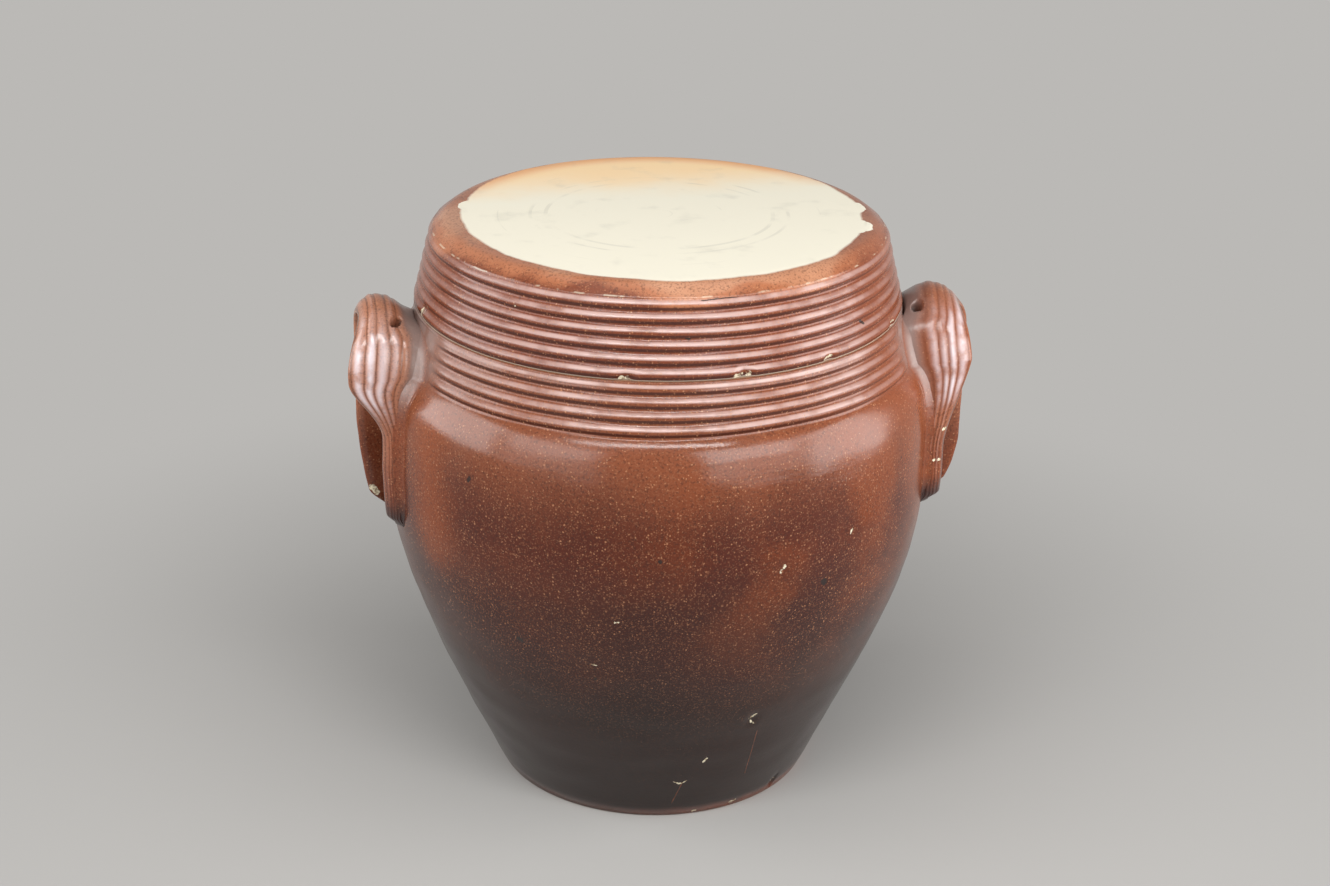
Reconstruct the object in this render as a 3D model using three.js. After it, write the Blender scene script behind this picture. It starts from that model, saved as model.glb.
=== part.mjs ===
// A lidded stoneware larder jar with two pulled ear handles. Millimetres, +Z up.
// The origin is the centre of the foot, and the handles stand at -X and +X.
import * as THREE from 'three';
import { mergeVertices } from 'three/addons/utils/BufferGeometryUtils.js';

// Thrown wall of the pot
const footRadius = 72;
const footBevelWidth = 3;
const footBevelHeight = 6.7;
const flareSlope = 0.44;
const bellyRadius = 120.5;
const bellyHeight = 150;
const shoulderRadius = 111.5;
const shoulderHeight = 199.5;
const neckHeight = 21.3;
const seamRadius = 105.4;
const wallThickness = 8;
const floorThickness = 10;

// How the wall curves, as shares of its rise from foot to belly and from belly to shoulder
const flareLength = 0.42;
const bellyTurnBelow = 0.31;
const bellyTurnAbove = 0.57;
const shoulderTurn = 0.13;
const shoulderTuck = 0.12;

// Throwing ridges of the neck and the lid
const ridgeHeight = 1.3;
const crestShares = { start: 0.3, end: 0.7 };
const neckRidges = 4;
const lidRidges = 6;

// Collar that the lid drops over
const ledgeWidth = 7;
const collarHeight = 15;
const collarTaper = 3.5;
const collarThickness = 6.5;

// Lid
const seatGap = 0.3;
const lidHeight = 36.3;
const lidTopRadius = 89.5;
const lidArrisRadius = 97.3;
const lidBevelHeight = 4.4;
const lidTopThickness = 8;
const lidCollarClearance = 1.3;

// Ear handles: pulled straps bent over into ears. An ear has its turn towards the front in degrees and
// the width of its tails. The crown has its height, how far it stands out beyond the belly, and how far
// it droops from its peak, at a share of its width, to its inner and outer edges. Each leg has its stand,
// its tail's height and rounding, and the heights between which it widens from tail to full. The string
// hole has its place along the strap, as a share, and the first of the lengthwise strips that it takes
const leftEar = {
  turn: 4,
  tailWidth: 5.5,
  crown: { height: 228, stand: 10.5, peak: 0.7, innerDroop: 11, outerDroop: 3.5 },
  front: { stand: 19.5, tailHeight: 130, tipRound: 5, sweepStart: 172, sweepEnd: 200 },
  back: { stand: 12.5, tailHeight: 120, tipRound: 10, sweepStart: 90, sweepEnd: 170 },
  hole: { share: 0.41, strip: 3 }
};
const rightEar = {
  turn: 9,
  tailWidth: 7.5,
  crown: { height: 227, stand: 11.5, peak: 0.5, innerDroop: 6, outerDroop: 6 },
  front: { stand: 17, tailHeight: 133, tipRound: 5, sweepStart: 158, sweepEnd: 202 },
  back: { stand: 20.6, tailHeight: 117, tipRound: 10, sweepStart: 98, sweepEnd: 148 },
  hole: { share: 0.41, strip: 1 }
};
const earSpan = 46;
const earArchRise = 24;
const earTipShare = 0.4;
const strapThickness = 8;
const strapTailThickness = 4.5;
const strapTailLength = 9;
const strapRidges = 6;
const strapRidgeHeight = 0.6;
const strapEdgeRound = 2;
const stringHoleStrips = 2;
const seatReach = 2.6;
const lutingGap = 0.3;
const lidPassClearance = 1.2;

// Fineness of the faceted surfaces
const turnSteps = 60;
const wallSteps = 9;
const shoulderSteps = 6;
const earSteps = 44;
const weldDistance = 0.0001;

// Colours and gloss of the glaze
const potBrown = 0x6f3a20;
const lidBrown = 0x7a4226;
const handleBrown = 0x7d4c38;
const glazeRoughness = 0.32;

const seamHeight = shoulderHeight + neckHeight;
const point = (radius, height) => new THREE.Vector2(radius, height);

// Lower wall from its bottom edge to the belly, moved in towards the axis by inset
function lowerWall(inset, bottomHeight) {
  const bottomRadius = footRadius + footBevelWidth + flareSlope * (bottomHeight - footBevelHeight) - inset;
  const rise = bellyHeight - bottomHeight;
  return new THREE.CubicBezierCurve(
    point(bottomRadius, bottomHeight),
    point(bottomRadius + flareSlope * rise * flareLength, bottomHeight + rise * flareLength),
    point(bellyRadius - inset, bellyHeight - rise * bellyTurnBelow),
    point(bellyRadius - inset, bellyHeight)
  );
}

// Upper wall from the belly to the shoulder line under the ridges
function upperWall(inset) {
  const rise = shoulderHeight - bellyHeight;
  const tuck = (bellyRadius - shoulderRadius) * shoulderTuck;
  return new THREE.CubicBezierCurve(
    point(bellyRadius - inset, bellyHeight),
    point(bellyRadius - inset, bellyHeight + rise * bellyTurnAbove),
    point(bellyRadius - inset - tuck, shoulderHeight - rise * shoulderTurn),
    point(shoulderRadius - inset, shoulderHeight)
  );
}

// A band of rounded ridges whose valleys lie on the line from start to end
function ridgeBand(start, end, count) {
  const points = [];
  for (let i = 0; i < count; i++) {
    for (const [share, lift] of [[0, 0], [crestShares.start, ridgeHeight], [crestShares.end, ridgeHeight]]) {
      const valley = start.clone().lerp(end, (i + share) / count);
      points.push(point(valley.x + lift, valley.y));
    }
  }
  return points;
}

// Outer outline of the pot from the rim of the foot up to the seam
function potOutline() {
  return [
    point(footRadius, 0),
    ...lowerWall(0, footBevelHeight).getPoints(wallSteps),
    ...upperWall(0).getPoints(shoulderSteps).slice(1, -1),
    ...ridgeBand(point(shoulderRadius, shoulderHeight), point(seamRadius, seamHeight), neckRidges),
    point(seamRadius, seamHeight)
  ];
}

// Radius of the pot's outside at a height
function potRadius(height) {
  const outline = potOutline();
  const top = outline.findIndex((p) => p.y >= height);
  if (top < 0) return seamRadius;
  if (top === 0) return footRadius;
  const [low, high] = [outline[top - 1], outline[top]];
  return THREE.MathUtils.mapLinear(height, low.y, high.y, low.x, high.x);
}

// A lathe outline turned about Z
function turned(outline) {
  return new THREE.LatheGeometry(outline, turnSteps).rotateX(Math.PI / 2);
}

// Position-only copy of a geometry with its shared corners merged and no collapsed faces
function welded(geometry) {
  const bare = geometry.clone();
  bare.deleteAttribute('normal');
  bare.deleteAttribute('uv');
  const merged = mergeVertices(bare, weldDistance);
  const index = Array.from(merged.index.array);
  const kept = [];
  for (let i = 0; i < index.length; i += 3) {
    const [a, b, c] = index.slice(i, i + 3);
    if (a !== b && b !== c && c !== a) kept.push(a, b, c);
  }
  merged.setIndex(kept);
  return merged;
}

function jarBody() {
  const collarRadius = seamRadius - ledgeWidth;
  const collarTop = seamHeight + collarHeight;
  return turned([
    point(0, 0),
    ...potOutline(),
    point(collarRadius, seamHeight),
    point(collarRadius - collarTaper, collarTop),
    point(collarRadius - collarTaper - collarThickness, collarTop),
    point(collarRadius - collarThickness, seamHeight),
    ...upperWall(wallThickness).getPoints(shoulderSteps).reverse(),
    ...lowerWall(wallThickness, floorThickness).getPoints(wallSteps).reverse().slice(1),
    point(0, floorThickness)
  ]);
}

function lid() {
  const rimHeight = seamHeight + seatGap;
  const lidTop = rimHeight + lidHeight;
  const arris = point(lidArrisRadius, lidTop - lidBevelHeight);
  const ceiling = lidTop - lidTopThickness;
  const innerRadius = seamRadius - ledgeWidth + lidCollarClearance;
  const innerTaper = collarTaper * (ceiling - rimHeight) / collarHeight;
  return turned([
    point(0, ceiling),
    point(innerRadius - innerTaper, ceiling),
    point(innerRadius, rimHeight),
    ...ridgeBand(point(seamRadius, rimHeight), arris, lidRidges),
    arris,
    point(lidTopRadius, lidTop),
    point(0, lidTop)
  ]);
}

// Height where the ear's arch springs from its legs
const archSpring = (ear) => ear.crown.height - strapThickness / 2 - earArchRise;

// How near a place round the wall is to the crown: 0 on the legs and 1 at the middle of the arch
const crownShare = (around) => 1 - (around / (earSpan / 2)) ** 2;

// How far the strap droops at a share of its width, from its inner edge to its outer edge
function crownDroop(ear, share) {
  const { peak, innerDroop, outerDroop } = ear.crown;
  if (share < peak) return innerDroop * ((peak - share) / peak) ** 2;
  return outerDroop * ((share - peak) / (1 - peak)) ** 2;
}

// How far the strap's outer edge stands from the jar's axis, at a place round the wall and a height.
// The front leg is on the side that frontSide gives
function strapReach(ear, frontSide, around, height) {
  const backShare = THREE.MathUtils.smoothstep(-around * frontSide, -earSpan / 2, earSpan / 2);
  const leg = backShare < 0.5 ? ear.front : ear.back;
  const legStand = THREE.MathUtils.lerp(ear.front.stand, ear.back.stand, backShare);
  const stand = THREE.MathUtils.lerp(legStand, ear.crown.stand, crownShare(around));
  const tailReach = potRadius(height) + ear.tailWidth;
  const widening = THREE.MathUtils.smoothstep(height, leg.sweepStart, leg.sweepEnd);
  const reach = THREE.MathUtils.lerp(tailReach, bellyRadius + stand, widening);
  const tipReach = THREE.MathUtils.lerp(potRadius(height), tailReach, earTipShare);
  const fromTip = THREE.MathUtils.smoothstep(height, leg.tailHeight, leg.tailHeight + leg.tipRound);
  return THREE.MathUtils.lerp(tipReach, reach, fromTip);
}

// Middle line of the strap, unrolled: x runs round the wall and y is the height
function strapLine(ear, frontSide) {
  const half = earSpan / 2;
  const [first, last] = frontSide < 0 ? [ear.front, ear.back] : [ear.back, ear.front];
  const line = new THREE.Path();
  line.moveTo(-half, first.tailHeight);
  line.lineTo(-half, archSpring(ear));
  line.absellipse(0, archSpring(ear), half, earArchRise, Math.PI, 0, true);
  line.lineTo(half, last.tailHeight);
  return line;
}

// A point of the wall's unrolled strip, bent round the jar at a distance from its axis
function wrapped(around, height, radius) {
  const angle = around / bellyRadius;
  return new THREE.Vector3(radius * Math.cos(angle), radius * Math.sin(angle), height);
}

// Nearest that the strap comes to the jar's axis at a height: on the wall or its ridges, and clear of
// the lid's way up above the seam
function strapSeat(height) {
  const nearby = [height - seatReach, height, height + seatReach];
  const wall = Math.max(...nearby.map(potRadius));
  if (height < shoulderHeight) return wall + lutingGap;
  const neck = THREE.MathUtils.mapLinear(height, shoulderHeight, seamHeight, shoulderRadius, seamRadius);
  const pass = seamRadius + lidPassClearance;
  return Math.max(neck + lutingGap, pass) + ridgeHeight;
}

// The strap's section at a point of its middle line: grooved outside, smooth inside, with a rounded rim
function strapSection(ear, frontSide, middle, along, thickness) {
  const outer = strapReach(ear, frontSide, middle.x, middle.y);
  const strips = strapRidges * 2;
  const fade = thickness / strapThickness;
  const half = thickness / 2;
  const corner = (share, off, inset) => {
    const lift = off - crownDroop(ear, share) * crownShare(middle.x);
    const around = middle.x - along.y * lift;
    const height = middle.y + along.x * lift;
    return wrapped(around, height, THREE.MathUtils.lerp(strapSeat(height), outer - inset, share));
  };
  const outside = [];
  const inside = [];
  for (let i = 0; i <= strips; i++) {
    outside.push(corner(i / strips, half + (i % 2) * strapRidgeHeight * fade, strapEdgeRound / 2));
    inside.push(corner(i / strips, -half, strapEdgeRound / 2));
  }
  const rim = [corner(1, half - strapEdgeRound, 0), corner(1, strapEdgeRound - half, 0)];
  return [...outside, ...rim, ...inside.reverse()];
}

// The strap's sections from one tail, over the crown, to the other
function strapSections(ear, frontSide) {
  const line = strapLine(ear, frontSide);
  const length = line.getLength();
  const sections = [];
  for (let i = 0; i <= earSteps; i++) {
    const share = i / earSteps;
    const toEnd = Math.min(share, 1 - share) * length;
    const thickening = THREE.MathUtils.smoothstep(toEnd, 0, strapTailLength);
    const thickness = THREE.MathUtils.lerp(strapTailThickness, strapThickness, thickening);
    const [middle, along] = [line.getPointAt(share), line.getTangentAt(share)];
    sections.push(strapSection(ear, frontSide, middle, along, thickness));
  }
  return sections;
}

// The two triangles between four corners
const quad = (a, b, c, d) => [a, b, d, b, c, d];

// Faces of the strap's skin between its sections of size points each, left open at the string hole
function skinFaces(size, hole) {
  const faces = [];
  const inHole = (row, strip) => row === hole.row && strip >= hole.start && strip < hole.end;
  for (let i = 0; i < earSteps; i++) {
    for (let j = 0; j < size; j++) {
      if (inHole(i, j) || inHole(i, size - 2 - j)) continue;
      const next = (j + 1) % size;
      faces.push(...quad(i * size + j, i * size + next, (i + 1) * size + next, (i + 1) * size + j));
    }
  }
  return faces;
}

// Faces of the string hole's wall, from the strap's outside to its inside
function holeFaces(size, hole) {
  const outside = [];
  for (let j = hole.start; j <= hole.end; j++) outside.push([hole.row, j]);
  for (let j = hole.end; j >= hole.start; j--) outside.push([hole.row + 1, j]);
  const inside = outside.map(([row, strip]) => [row, size - 1 - strip]);
  const corner = ([row, place]) => row * size + place;
  return outside.flatMap((rim, k) => {
    const next = (k + 1) % outside.length;
    return quad(corner(rim), corner(outside[next]), corner(inside[next]), corner(inside[k]));
  });
}

// Faces over the strap's two ends, in strips from its outside to its inside
function endFaces(size) {
  const faces = [];
  const last = earSteps * size;
  for (let j = 0; j < size / 2 - 1; j++) {
    const opposite = size - 1 - j;
    faces.push(...quad(opposite, opposite - 1, j + 1, j));
    faces.push(...quad(last + j, last + j + 1, last + opposite - 1, last + opposite));
  }
  return faces;
}

// The strap as one closed skin, pierced by its string hole
function earHandle(ear, frontSide) {
  const sections = strapSections(ear, frontSide);
  const size = sections[0].length;
  const frontRow = Math.round(ear.hole.share * earSteps);
  const hole = {
    row: frontSide < 0 ? frontRow : earSteps - 1 - frontRow,
    start: ear.hole.strip,
    end: ear.hole.strip + stringHoleStrips
  };
  const geometry = new THREE.BufferGeometry().setFromPoints(sections.flat());
  geometry.setIndex([...skinFaces(size, hole), ...holeFaces(size, hole), ...endFaces(size)]);
  return geometry;
}

function piece(name, geometry, color) {
  const material = new THREE.MeshStandardMaterial({ color, roughness: glazeRoughness, metalness: 0 });
  const mesh = new THREE.Mesh(geometry, material);
  mesh.name = name;
  return mesh;
}

const jar = new THREE.Group();
jar.add(piece('jar_body', welded(jarBody()), potBrown));
jar.add(piece('lid', welded(lid()), lidBrown));
const rightHandle = piece('right_handle', earHandle(rightEar, -1), handleBrown);
rightHandle.rotation.z = -THREE.MathUtils.degToRad(rightEar.turn);
jar.add(rightHandle);
const leftHandle = piece('left_handle', earHandle(leftEar, 1), handleBrown);
leftHandle.rotation.z = Math.PI + THREE.MathUtils.degToRad(leftEar.turn);
jar.add(leftHandle);

export default jar;
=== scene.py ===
import math

import bmesh
import bpy
from mathutils import Matrix, Vector, noise


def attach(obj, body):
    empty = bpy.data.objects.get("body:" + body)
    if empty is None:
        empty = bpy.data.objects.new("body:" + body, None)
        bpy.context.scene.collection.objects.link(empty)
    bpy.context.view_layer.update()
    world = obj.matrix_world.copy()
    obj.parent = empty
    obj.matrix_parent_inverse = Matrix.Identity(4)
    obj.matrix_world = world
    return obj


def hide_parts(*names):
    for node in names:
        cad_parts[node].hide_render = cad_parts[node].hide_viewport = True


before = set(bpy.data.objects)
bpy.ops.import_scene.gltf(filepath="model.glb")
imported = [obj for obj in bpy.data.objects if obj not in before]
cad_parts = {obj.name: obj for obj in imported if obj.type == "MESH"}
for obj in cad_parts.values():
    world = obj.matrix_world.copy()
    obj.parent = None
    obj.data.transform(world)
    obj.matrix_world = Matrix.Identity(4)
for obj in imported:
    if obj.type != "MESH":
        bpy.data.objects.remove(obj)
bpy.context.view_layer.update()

MM = 0.001

# Thrown wall of the pot, in millimetres
FOOT_RADIUS = 72.0
FOOT_BEVEL_WIDTH = 3.0
FOOT_BEVEL_HEIGHT = 6.7
FLARE_SLOPE = 0.44
BELLY_RADIUS = 120.5
BELLY_HEIGHT = 150.0
SHOULDER_RADIUS = 111.5
SHOULDER_HEIGHT = 199.5
NECK_HEIGHT = 21.3
SEAM_RADIUS = 105.4
WALL_THICKNESS = 8.0
FLOOR_THICKNESS = 10.0
SEAM_HEIGHT = SHOULDER_HEIGHT + NECK_HEIGHT

# How the wall curves, as shares of its rise from foot to belly and from belly to shoulder
FLARE_LENGTH = 0.42
BELLY_TURN_BELOW = 0.31
BELLY_TURN_ABOVE = 0.57
SHOULDER_TURN = 0.13
SHOULDER_TUCK = 0.12

# Throwing ridges of the neck and the lid, and the thin lip that the neck ends in
RIDGE_HEIGHT = 1.3
RIDGE_FULLNESS = 0.8
NECK_RIDGES = 4
LID_RIDGES = 6
LIP_HEIGHT = 1.1
LIP_REACH = 0.8
GROOVE_DEPTH = 0.5

# Collar that the lid drops over
LEDGE_WIDTH = 7.0
COLLAR_HEIGHT = 15.0
COLLAR_TAPER = 3.5
COLLAR_THICKNESS = 6.5
RIM_ROUND = 1.5

# Lid
SEAT_GAP = 0.3
LID_HEIGHT = 36.3
LID_TOP_RADIUS = 89.5
LID_ARRIS_RADIUS = 97.3
LID_BEVEL_HEIGHT = 4.4
LID_TOP_THICKNESS = 8.0
LID_COLLAR_CLEARANCE = 1.3
LID_INNER_ROUND = 4.0
LID_RIM = SEAM_HEIGHT + SEAT_GAP
LID_TOP = LID_RIM + LID_HEIGHT
LID_ARRIS = LID_TOP - LID_BEVEL_HEIGHT
LID_CEILING = LID_TOP - LID_TOP_THICKNESS

# Ear handles: turn round the jar, the side of the front leg and the tails' width; how high the crown is,
# how far it stands out beyond the belly and how it droops from its peak; each leg's stand, tail, rounding
# and widening; and where the string hole is along the strap and across it, its size and its lean
LEFT_EAR = {
    "turn": 184.0, "front_side": 1, "tail_width": 5.5,
    "crown": {"height": 228.0, "stand": 10.5, "peak": 0.7, "inner_droop": 11.0, "outer_droop": 3.5},
    "front": {"stand": 19.5, "tail": 130.0, "tip_round": 5.0, "sweep": (170.0, 198.0)},
    "back": {"stand": 12.5, "tail": 120.0, "tip_round": 10.0, "sweep": (90.0, 170.0)},
    "hole": {"along": 0.413, "across": 0.36, "length": 5.6, "width": 3.2, "lean": 40.0},
}
RIGHT_EAR = {
    "turn": -9.0, "front_side": -1, "tail_width": 7.5,
    "crown": {"height": 227.0, "stand": 11.5, "peak": 0.5, "inner_droop": 6.0, "outer_droop": 6.0},
    "front": {"stand": 17.0, "tail": 133.0, "tip_round": 5.0, "sweep": (158.0, 202.0)},
    "back": {"stand": 20.6, "tail": 117.0, "tip_round": 10.0, "sweep": (98.0, 148.0)},
    "hole": {"along": 0.407, "across": 0.19, "length": 5.2, "width": 4.6, "lean": 0.0},
}
EAR_SPAN = 46.0
EAR_ARCH_RISE = 24.0
EAR_TIP_SHARE = 0.4
LEG_STEPS = 40
ARCH_STEPS = 80
STRAP_THICKNESS = 8.0
STRAP_TAIL_THICKNESS = 4.5
STRAP_TAIL_LENGTH = 9.0
STRAP_END_ROUND = 8.0
STRAP_EDGE_POWER = 4
STRAP_BEND = 4.0
STRAP_RIDGES = 6
STRAP_RIDGE_HEIGHT = 0.5
STRAP_RIDGE_DRIFT = 0.09
HOLE_SMOOTHINGS = 3
STRAP_BITE = 1.5
LID_PASS_CLEARANCE = 1.0

# Inner share of the strap that smeared clay covers at its root, how far the tails' tips are darkened by
# painted shade, and the heights between which a pale salt bloom, partly a painted highlight, lies on the
# strap's outer face
ROOT_START = 0.34
ROOT_FULL = 0.14
TIP_SHADE_LENGTH = 17.0
BLOOM_AND_HIGHLIGHT_BOTTOM = 176.0
BLOOM_AND_HIGHLIGHT_TOP = 224.0

# Clay smeared into the corners beside the ears: its width on the belly and the neck, how far it climbs
# the strap, and the fine lip at its edge
SMEAR_WIDTH = 5.2
SMEAR_NECK_WIDTH = 8.0
SMEAR_CLIMB = 3.8
SMEAR_INNER_SHARE = 0.6
SMEAR_LIP = 0.6
SMEAR_TUCK = 0.8
SMEAR_TAIL = 22.0
SMEAR_EXPOSED = 0.75
SMEAR_END_GAP = 2.0
LEG_SHARE = 0.45

# The neck's ridges fade between these angles, in degrees, from the middle of an ear
RIDGES_GONE = 13.5
RIDGES_FULL = 24.0
NECK_GREY_END = 28.0

# Chips through the glaze and pits in it: each a short stroke from one place to another, as angle round the
# jar in degrees and height in millimetres, with half its width in millimetres
LID_CHIPS = (
    ((-107.3, 221.6), (-105.2, 222.0), 1.3), ((-106.0, 223.4), (-104.9, 222.4), 0.8),
    ((-81.9, 221.7), (-79.0, 222.3), 1.4), ((-80.6, 223.7), (-78.9, 222.6), 0.9),
    ((-59.2, 222.0), (-57.6, 222.6), 1.2), ((-58.2, 223.7), (-57.5, 222.7), 0.7),
    ((-171.0, 222.6), (-170.0, 224.6), 1.5), ((-168.6, 225.2), (-168.2, 224.2), 0.8),
    ((-31.4, 222.4), (-29.8, 223.2), 1.0), ((-134.0, 243.5), (-133.8, 243.9), 0.5),
    ((61.0, 221.8), (63.2, 222.3), 1.2), ((130.6, 222.4), (131.6, 222.8), 0.9),
)
POT_CHIPS = (
    ((-73.9, 139.6), (-73.1, 142.4), 0.8),
    ((-72.6, 62.0), (-73.6, 59.6), 1.0), ((-73.6, 59.6), (-73.1, 57.0), 0.9),
    ((-74.0, 57.2), (-72.5, 56.4), 0.5), ((-84.6, 36.2), (-83.7, 38.4), 0.6),
    ((-92.6, 24.3), (-90.9, 23.0), 0.42), ((-90.9, 23.0), (-89.9, 23.2), 0.45),
    ((-89.9, 23.2), (-88.4, 24.9), 0.4), ((-57.2, 149.2), (-56.8, 150.6), 0.5),
    ((-70.3, 3.0), (-68.6, 3.4), 0.8), ((-84.6, 1.6), (-83.6, 2.2), 0.6),
    ((-52.6, 6.0), (-51.4, 6.6), 0.8), ((47.0, 87.0), (48.6, 89.6), 1.2),
    ((117.4, 170.4), (118.2, 171.6), 0.9),
    ((-107.0, 120.0), (-106.2, 120.3), 0.4), ((-112.4, 96.0), (-111.4, 96.0), 0.4),
)
POT_PITS = (
    ((-63.4, 130.2), (-63.0, 129.8), 1.5), ((-98.2, 149.8), (-98.1, 149.6), 0.9),
    ((-128.9, 102.3), (-128.5, 101.7), 1.3), ((-138.7, 171.6), (-138.3, 172.8), 1.0),
    ((-112.0, 88.0), (-111.9, 88.2), 0.7), ((75.0, 140.0), (75.3, 140.5), 1.2),
    ((160.0, 110.0), (160.2, 109.5), 1.0),
)
LID_PITS = (
    ((-93.0, 237.4), (-92.2, 237.4), 0.6), ((-45.6, 231.5), (-45.0, 230.9), 1.0),
    ((100.0, 240.0), (100.4, 240.2), 0.8),
)
SCRATCHES = (((-70.2, 50.0), (-69.0, 22.0), 0.28), ((-90.0, 22.4), (-92.4, 9.0), 0.28))
EAR_CHIPS = (
    ((175.8, 131.5, 127.5), (175.7, 128.9, 125.4), 1.4),
    ((-20.1, 168.9, 127.3), (-19.3, 168.7, 128.5), 0.8),
    ((-21.3, 154.8, 124.1), (-19.7, 154.1, 126.9), 0.7),
)
CHIP_DEPTH = 0.9
PIT_DEPTH = 0.5

# Places where the bare top runs out over the lid's bevel: angle, distance from the axis and size
BARE_RUNS = ((-19.0, 81.0, 11.0), (0.0, 80.5, 10.5), (-29.0, 80.0, 7.5), (165.0, 79.0, 9.0))

# How much the bare clay is narrower than the lid's flat top from side to side and wider from front to
# back, and how far its middle lies to the right and to the back
BARE_SQUEEZE = 1.045
BARE_STRETCH = 0.98
BARE_RIGHT = 1.6
BARE_BACK = 2.0

# Warm patches where the flame struck: two ends, each as angle, height and distance from the axis, and
# half a width
WARM_SPOTS = (
    ((-34.0, 200.0, 112.0), (-30.0, 160.0, 119.0), 30.0),
    ((-152.0, 180.0, 117.0), (-150.0, 140.0, 119.0), 26.0),
    ((58.0, 190.0, 115.0), (64.0, 150.0, 120.0), 28.0),
)

# Fine crack under the lid's arris in front: its ends along X and its height
CRACK_START = 0.5
CRACK_END = 17.0
CRACK_HEIGHT = LID_ARRIS - 1.0
CRACK_WIDTH = 0.35

# How far a hand-thrown wall strays from a turned one
POT_SWAY = 0.9
LID_SWAY = 0.5
RIDGE_SWAY = 0.22
RIDGE_WAVER = 0.7

# Fineness of the turned and pulled surfaces, and how near points are merged
TURN_STEPS = 288
WALL_STEPS = 54
RIDGE_STEPS = 12
STRAP_STEPS = 300
STRAP_TURN_STEPS = 140
SMEAR_STEPS = 110
SMEAR_TURN_STEPS = 36
WELD = 2e-6

# Camera, as the photo was taken: distances in metres, angles in degrees
CAMERA_DISTANCE = 0.900
CAMERA_HEIGHT = 0.5324
CAMERA_SIDE = 0.00396
CAMERA_PITCH = 23.01
CAMERA_TURN = 9.5
CAMERA_ROLL = 0.9
FOCAL_PIXELS = 2175.0
PHOTO_WIDTH = 1330.0
SENSOR_WIDTH = 36.0


def smoothstep(value, low, high):
    share = min(max((value - low) / (high - low), 0.0), 1.0)
    return share * share * (3 - 2 * share)


def mix(a, b, share):
    return a + (b - a) * share


def bezier(points, steps):
    """Points of a cubic curve through its four control points, as (radius, height)."""
    found = []
    for i in range(steps + 1):
        t = i / steps
        weights = ((1 - t) ** 3, 3 * t * (1 - t) ** 2, 3 * t * t * (1 - t), t ** 3)
        found.append(tuple(sum(w * p[k] for w, p in zip(weights, points)) for k in (0, 1)))
    return found


def lower_wall(inset, bottom):
    """The wall from its bottom edge to the belly, moved towards the axis by inset."""
    radius = FOOT_RADIUS + FOOT_BEVEL_WIDTH + FLARE_SLOPE * (bottom - FOOT_BEVEL_HEIGHT) - inset
    rise = BELLY_HEIGHT - bottom
    belly = BELLY_RADIUS - inset
    return bezier((
        (radius, bottom),
        (radius + FLARE_SLOPE * rise * FLARE_LENGTH, bottom + rise * FLARE_LENGTH),
        (belly, BELLY_HEIGHT - rise * BELLY_TURN_BELOW),
        (belly, BELLY_HEIGHT),
    ), WALL_STEPS)


def upper_wall(inset):
    """The wall from the belly to the shoulder line under the ridges."""
    rise = SHOULDER_HEIGHT - BELLY_HEIGHT
    belly = BELLY_RADIUS - inset
    return bezier((
        (belly, BELLY_HEIGHT),
        (belly, BELLY_HEIGHT + rise * BELLY_TURN_ABOVE),
        (belly - (BELLY_RADIUS - SHOULDER_RADIUS) * SHOULDER_TUCK, SHOULDER_HEIGHT - rise * SHOULDER_TURN),
        (SHOULDER_RADIUS - inset, SHOULDER_HEIGHT),
    ), WALL_STEPS // 2)


def ridge_lift(share):
    """Height of a rounded ridge, 0 to 1, at a share of its width."""
    return (0.5 - 0.5 * math.cos(math.tau * share)) ** RIDGE_FULLNESS


def ridge_band(start, end, count):
    """Ridges whose valleys lie on the line from start to end."""
    found = []
    for i in range(count * RIDGE_STEPS):
        share = i / (count * RIDGE_STEPS)
        lift = RIDGE_HEIGHT * ridge_lift(share * count % 1)
        found.append((mix(start[0], end[0], share) + lift, mix(start[1], end[1], share)))
    return found


def neck_ridges():
    """The neck's ridges, of which the top one is split in two by a fine groove."""
    ridges = ridge_band((SHOULDER_RADIUS, SHOULDER_HEIGHT), (SEAM_RADIUS, SEAM_HEIGHT), NECK_RIDGES)
    top = len(ridges) - RIDGE_STEPS
    for i in range(RIDGE_STEPS):
        radius, height = ridges[top + i]
        ridges[top + i] = (radius - GROOVE_DEPTH * math.sin(math.pi * i / RIDGE_STEPS) ** 8, height)
    return ridges


def pot_outline():
    """Outer outline from the rim of the foot up to the seam."""
    neck = neck_ridges()
    below_lip = [p for p in neck if p[1] < SEAM_HEIGHT - LIP_HEIGHT]
    return [
        (FOOT_RADIUS - 1.0, 0.0), (FOOT_RADIUS, 0.5),
        *lower_wall(0, FOOT_BEVEL_HEIGHT),
        *upper_wall(0)[1:-1],
        *below_lip,
        (SEAM_RADIUS + LIP_REACH, SEAM_HEIGHT - LIP_HEIGHT * 0.6),
        (SEAM_RADIUS + LIP_REACH, SEAM_HEIGHT - LIP_HEIGHT * 0.2),
        (SEAM_RADIUS + LIP_REACH * 0.5, SEAM_HEIGHT),
    ]


def radius_at(outline, height):
    """Radius of an outline at a height, between its points."""
    for low, high in zip(outline, outline[1:]):
        if low[1] <= height < high[1]:
            return mix(low[0], high[0], (height - low[1]) / (high[1] - low[1]))
    return outline[-1][0] if height >= outline[-1][1] else outline[0][0]


POT_OUTLINE = pot_outline()
LID_OUTLINE = ridge_band((SEAM_RADIUS, LID_RIM), (LID_ARRIS_RADIUS, LID_ARRIS), LID_RIDGES)


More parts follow.
